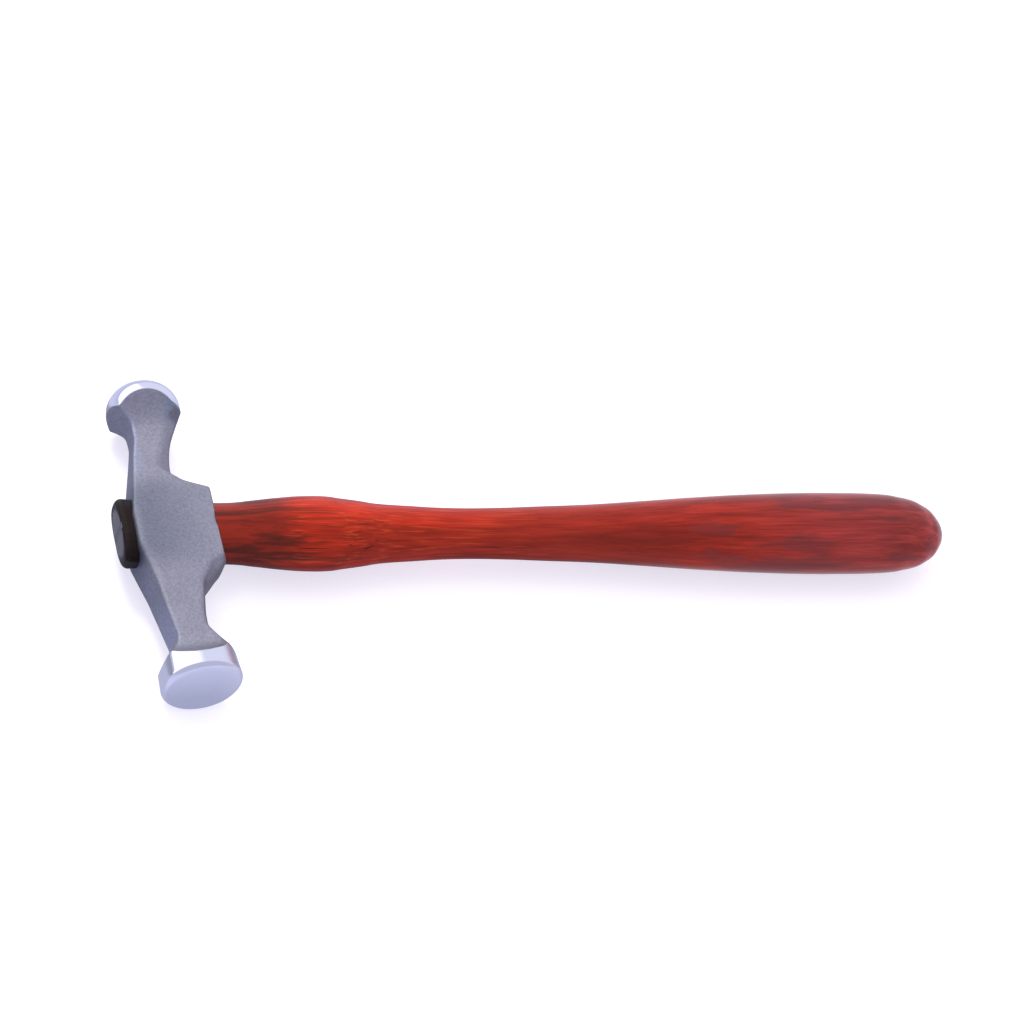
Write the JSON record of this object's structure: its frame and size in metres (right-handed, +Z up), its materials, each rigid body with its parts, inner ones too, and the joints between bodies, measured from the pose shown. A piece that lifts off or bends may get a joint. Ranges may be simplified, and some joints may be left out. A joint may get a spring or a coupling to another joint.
{
  "type": "planishing hammer",
  "caption": "Small metalworker's hammer with a waisted, faceted steel head, one flat and one domed polished face, and a turned red hardwood handle wedged through an oval eye.",
  "frame": {"origin": "on the surface that the hammer lies on, under the middle of its box", "axes": "+X along the handle from the head to the butt, +Y along the head towards the domed face, +Z up out of the upper cheek"},
  "size_m": [0.244, 0.0958, 0.0212],
  "materials": {
    "head_steel": "satin steel on the facets, mirror polish on the turned ends and both faces",
    "handle_wood": "satin lacquer over a red-brown hardwood with fine lengthwise grain",
    "wedge_wood": "end grain of a hardwood wedge, dulled by oil",
    "wedge_steel": "plain mild steel, filed flush"
  },
  "bodies": {
    "root": {"head": "head_steel", "handle": "handle_wood", "timber_wedge": "wedge_wood", "steel_wedge": "wedge_steel"}
  },
  "joints": []
}
